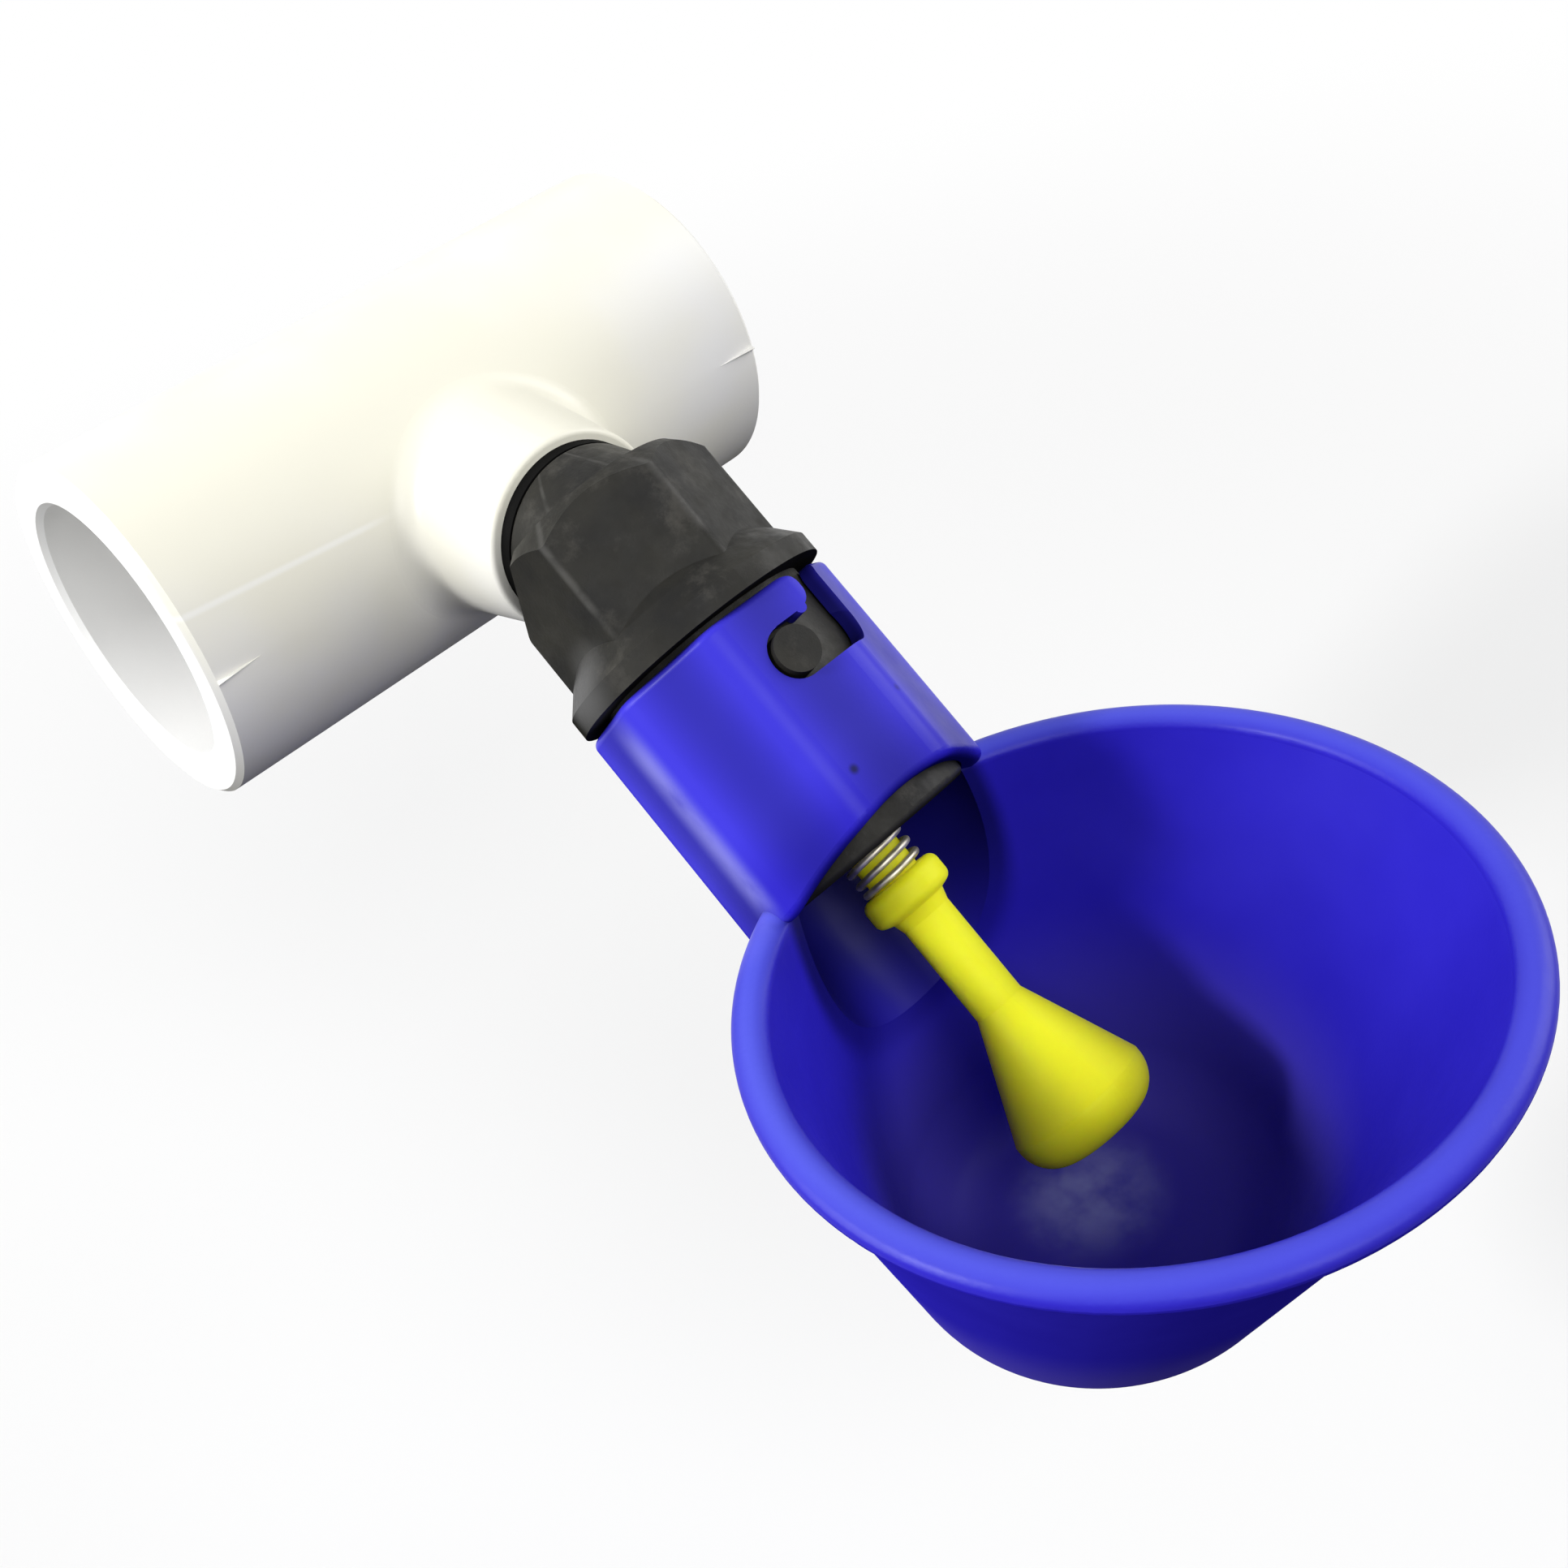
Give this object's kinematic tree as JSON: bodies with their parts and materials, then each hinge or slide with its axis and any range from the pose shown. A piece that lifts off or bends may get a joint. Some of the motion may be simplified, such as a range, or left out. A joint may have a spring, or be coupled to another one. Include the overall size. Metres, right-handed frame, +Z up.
{
  "type": "poultry drinking cup",
  "caption": "Poultry drinking cup on a pipe tee: a blue bowl twists on to an angled valve body, and a yellow trigger in the bowl lets the water in.",
  "frame": {"origin": "middle of the wall of the pipe socket at the +Y end, on the pipe's axis", "axes": "+Y along the pipe out of that socket, +X out of the tee's branch towards the cup, +Z up; the cup's rim is level"},
  "size_m": [0.127, 0.062, 0.0742],
  "materials": {
    "white_pvc": "smooth moulded PVC, slightly cream",
    "black_rubber": "matt rubber",
    "black_plastic": "satin moulded plastic, lightly dusty",
    "yellow_plastic": "smooth moulded plastic",
    "spring_steel": "drawn stainless wire",
    "blue_plastic": "smooth moulded plastic, royal blue"
  },
  "bodies": {
    "valve": {"pvc_tee": "white_pvc", "branch_washer": "black_rubber", "valve_body": "black_plastic", "seat_plug": "black_plastic"},
    "cup": {"cup": "blue_plastic"},
    "spring": {"return_spring": "spring_steel"},
    "trigger": {"trigger": "yellow_plastic", "valve_seal": "black_rubber", "seal_cap": "yellow_plastic"}
  },
  "joints": [
    {"name": "cup_twist", "type": "hinge", "parent": "valve", "child": "cup", "pos_m": [0.0326, -0.021, 0], "axis": [0.7071, 0, -0.7071], "range_deg": [0, 32]},
    {"name": "trigger_sideways", "type": "hinge", "parent": "valve", "child": "spring", "pos_m": [0.05176, -0.021, -0.01916], "axis": [0.7071, 0, 0.7071], "range_deg": [-6, 6], "stiffness_Nm_per_rad": 0.02, "deforming": ["return_spring", "valve_seal"]},
    {"name": "trigger_fore_aft", "type": "hinge", "parent": "spring", "child": "trigger", "pos_m": [0.05176, -0.021, -0.01916], "axis": [0, 1, 0], "range_deg": [-6, 6], "stiffness_Nm_per_rad": 0.02, "deforming": ["return_spring", "valve_seal"]}
  ]
}
